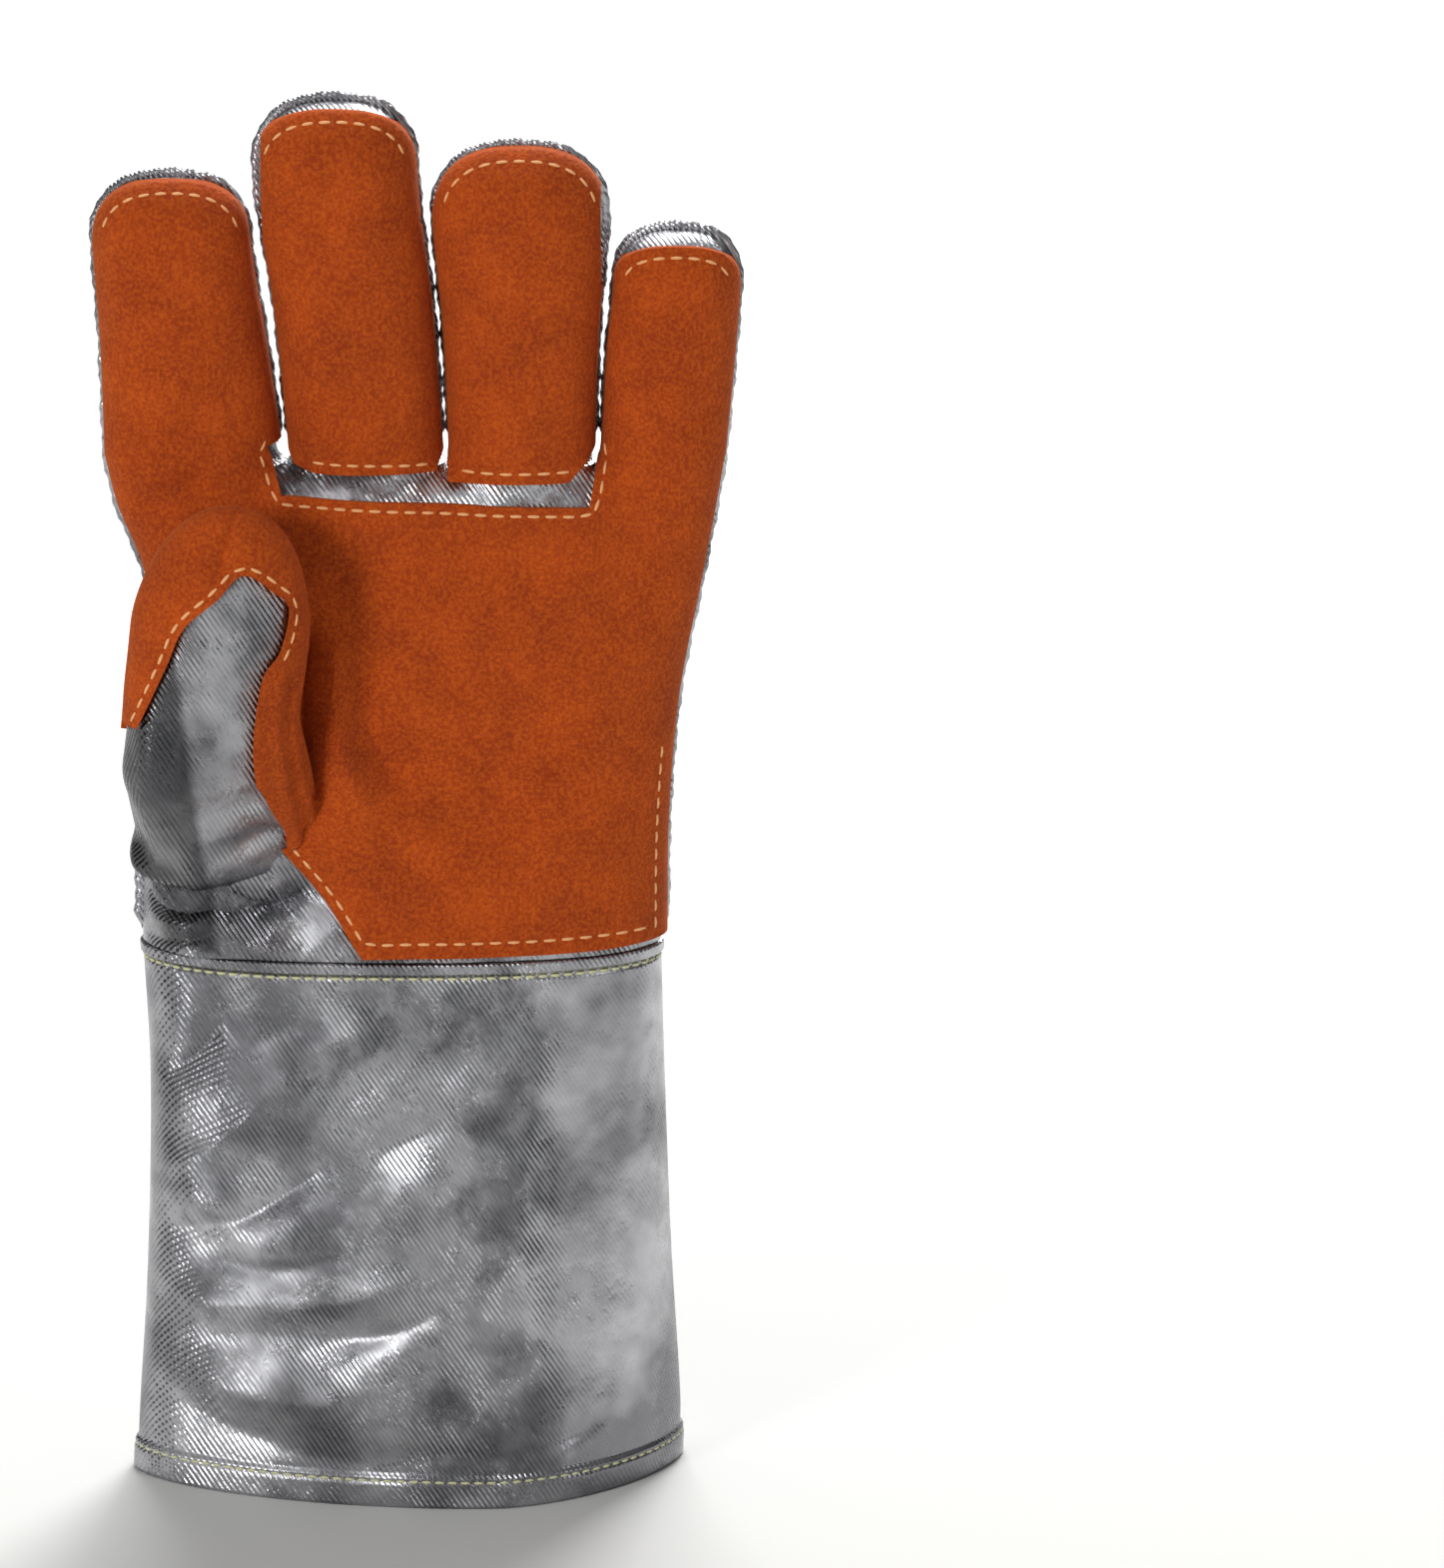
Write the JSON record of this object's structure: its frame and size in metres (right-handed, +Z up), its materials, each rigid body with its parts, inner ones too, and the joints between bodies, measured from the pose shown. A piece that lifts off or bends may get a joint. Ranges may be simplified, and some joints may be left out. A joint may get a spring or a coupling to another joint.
{
  "type": "aluminised heat resistant glove",
  "caption": "Left-hand gauntlet: aluminised cloth cuff, back and thumb, with split leather on the palm, the fingers and the thumb's tip.",
  "frame": {"origin": "middle of the glove's box, on the surface that the cuff stands on", "axes": "+X from the thumb's side to the little finger's, -Y is the palm's side, +Z up from the cuff to the fingertips"},
  "size_m": [0.1724, 0.098, 0.3812],
  "materials": {
    "aluminised_cloth": "foil-coated twill, shiny",
    "split_leather": "orange suede",
    "stitching": "matt sewing thread"
  },
  "bodies": {
    "root": {"cuff": "aluminised_cloth", "back_panel": "aluminised_cloth", "palm_backing": "aluminised_cloth", "thumb_panel": "aluminised_cloth", "palm_leather": "split_leather", "middle_finger_leather": "split_leather", "ring_finger_leather": "split_leather", "thumb_leather": "split_leather"}
  },
  "joints": []
}
